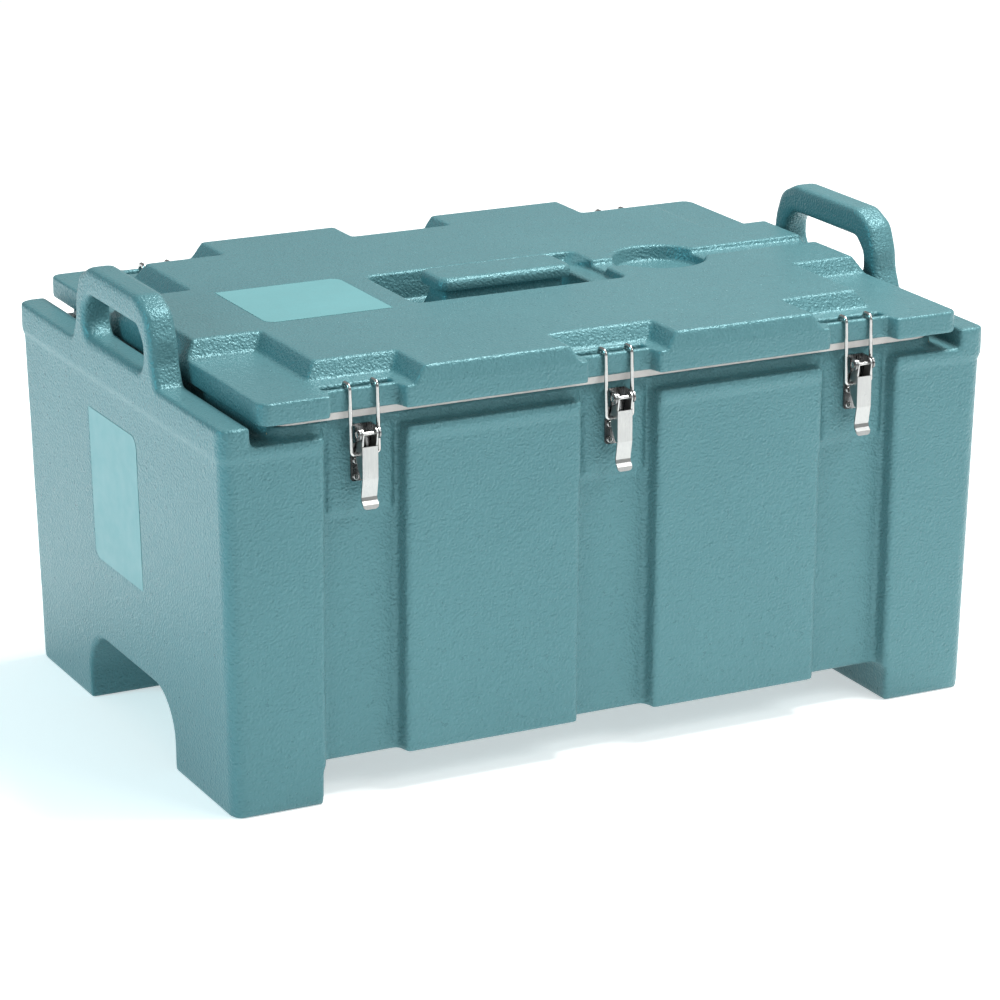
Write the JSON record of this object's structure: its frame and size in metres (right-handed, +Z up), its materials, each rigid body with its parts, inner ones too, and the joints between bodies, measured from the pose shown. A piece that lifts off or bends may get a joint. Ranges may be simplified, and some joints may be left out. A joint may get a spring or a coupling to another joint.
{
  "type": "insulated food carrier",
  "caption": "Top-loading insulated food carrier: teal moulded box on corner feet with lift-off lid, draw latches along both long sides and loop end handles.",
  "frame": {"origin": "middle of the footprint, on the floor", "axes": "+Z up, X along the length, front latches at -Y"},
  "size_m": [0.6656, 0.443, 0.373],
  "materials": {
    "teal_plastic": "pebbled",
    "smooth_plastic": "smooth satin",
    "gasket": "matte",
    "steel": "bright",
    "bright_wire": "polished",
    "foam": "matte"
  },
  "bodies": {
    "body": {"body_shell": "teal_plastic", "body_foam_core": "foam", "body_fill_plugs": "teal_plastic", "end_label_panel": "smooth_plastic", "handle_left": "teal_plastic", "handle_right": "teal_plastic", "foot_front_left": "teal_plastic", "foot_front_right": "teal_plastic", "foot_rear_left": "teal_plastic", "foot_rear_right": "teal_plastic", "latch_front_1_plate": "steel", "latch_front_1_pin": "steel", "latch_front_1_screws": "steel", "latch_front_2_plate": "steel", "latch_front_2_pin": "steel", "latch_front_2_screws": "steel", "latch_front_3_plate": "steel", "latch_front_3_pin": "steel", "latch_front_3_screws": "steel", "latch_rear_1_plate": "steel", "latch_rear_1_pin": "steel", "latch_rear_1_screws": "steel", "latch_rear_2_plate": "steel", "latch_rear_2_pin": "steel", "latch_rear_2_screws": "steel", "latch_rear_3_plate": "steel", "latch_rear_3_pin": "steel", "latch_rear_3_screws": "steel"},
    "lid": {"lid_shell": "teal_plastic", "lid_foam_core": "foam", "lid_grip_bar": "teal_plastic", "lid_fill_plug": "teal_plastic", "lid_label_panel": "smooth_plastic", "lid_gasket": "gasket"},
    "lever_front_1": {"latch_front_1_lever": "steel"},
    "bail_front_1": {"latch_front_1_bail": "bright_wire"},
    "lever_front_2": {"latch_front_2_lever": "steel"},
    "bail_front_2": {"latch_front_2_bail": "bright_wire"},
    "lever_front_3": {"latch_front_3_lever": "steel"},
    "bail_front_3": {"latch_front_3_bail": "bright_wire"},
    "lever_rear_1": {"latch_rear_1_lever": "steel"},
    "bail_rear_1": {"latch_rear_1_bail": "bright_wire"},
    "lever_rear_2": {"latch_rear_2_lever": "steel"},
    "bail_rear_2": {"latch_rear_2_bail": "bright_wire"},
    "lever_rear_3": {"latch_rear_3_lever": "steel"},
    "bail_rear_3": {"latch_rear_3_bail": "bright_wire"}
  },
  "joints": [
    {"name": "lid_lift", "type": "slide", "parent": "body", "child": "lid", "axis": [0, 0, 1], "range_m": [0, 0.25]},
    {"name": "lever_front_1", "type": "hinge", "parent": "body", "child": "lever_front_1", "pos_m": [-0.215, -0.217, 0.2925], "axis": [-1, 0, 0], "range_deg": [0, 120]},
    {"name": "bail_front_1", "type": "hinge", "parent": "lever_front_1", "child": "bail_front_1", "pos_m": [-0.215, -0.2112, 0.2758], "axis": [-1, 0, 0], "range_deg": [-180, 0], "deforming": ["latch_front_1_bail"]},
    {"name": "lever_front_2", "type": "hinge", "parent": "body", "child": "lever_front_2", "pos_m": [0, -0.217, 0.2925], "axis": [-1, 0, 0], "range_deg": [0, 120]},
    {"name": "bail_front_2", "type": "hinge", "parent": "lever_front_2", "child": "bail_front_2", "pos_m": [0, -0.2112, 0.2758], "axis": [-1, 0, 0], "range_deg": [-180, 0], "deforming": ["latch_front_2_bail"]},
    {"name": "lever_front_3", "type": "hinge", "parent": "body", "child": "lever_front_3", "pos_m": [0.215, -0.217, 0.2925], "axis": [-1, 0, 0], "range_deg": [0, 120]},
    {"name": "bail_front_3", "type": "hinge", "parent": "lever_front_3", "child": "bail_front_3", "pos_m": [0.215, -0.2112, 0.2758], "axis": [-1, 0, 0], "range_deg": [-180, 0], "deforming": ["latch_front_3_bail"]},
    {"name": "lever_rear_1", "type": "hinge", "parent": "body", "child": "lever_rear_1", "pos_m": [0.215, 0.217, 0.2925], "axis": [1, 0, 0], "range_deg": [0, 120]},
    {"name": "bail_rear_1", "type": "hinge", "parent": "lever_rear_1", "child": "bail_rear_1", "pos_m": [0.215, 0.2112, 0.2758], "axis": [1, 0, 0], "range_deg": [-180, 0], "deforming": ["latch_rear_1_bail"]},
    {"name": "lever_rear_2", "type": "hinge", "parent": "body", "child": "lever_rear_2", "pos_m": [0, 0.217, 0.2925], "axis": [1, 0, 0], "range_deg": [0, 120]},
    {"name": "bail_rear_2", "type": "hinge", "parent": "lever_rear_2", "child": "bail_rear_2", "pos_m": [0, 0.2112, 0.2758], "axis": [1, 0, 0], "range_deg": [-180, 0], "deforming": ["latch_rear_2_bail"]},
    {"name": "lever_rear_3", "type": "hinge", "parent": "body", "child": "lever_rear_3", "pos_m": [-0.215, 0.217, 0.2925], "axis": [1, 0, 0], "range_deg": [0, 120]},
    {"name": "bail_rear_3", "type": "hinge", "parent": "lever_rear_3", "child": "bail_rear_3", "pos_m": [-0.215, 0.2112, 0.2758], "axis": [1, 0, 0], "range_deg": [-180, 0], "deforming": ["latch_rear_3_bail"]}
  ],
  "couplings": [
    {"joint": "bail_front_1", "follows": "lever_front_1", "ratio": -1.5},
    {"joint": "bail_front_2", "follows": "lever_front_2", "ratio": -1.5},
    {"joint": "bail_front_3", "follows": "lever_front_3", "ratio": -1.5},
    {"joint": "bail_rear_1", "follows": "lever_rear_1", "ratio": -1.5},
    {"joint": "bail_rear_2", "follows": "lever_rear_2", "ratio": -1.5},
    {"joint": "bail_rear_3", "follows": "lever_rear_3", "ratio": -1.5}
  ]
}
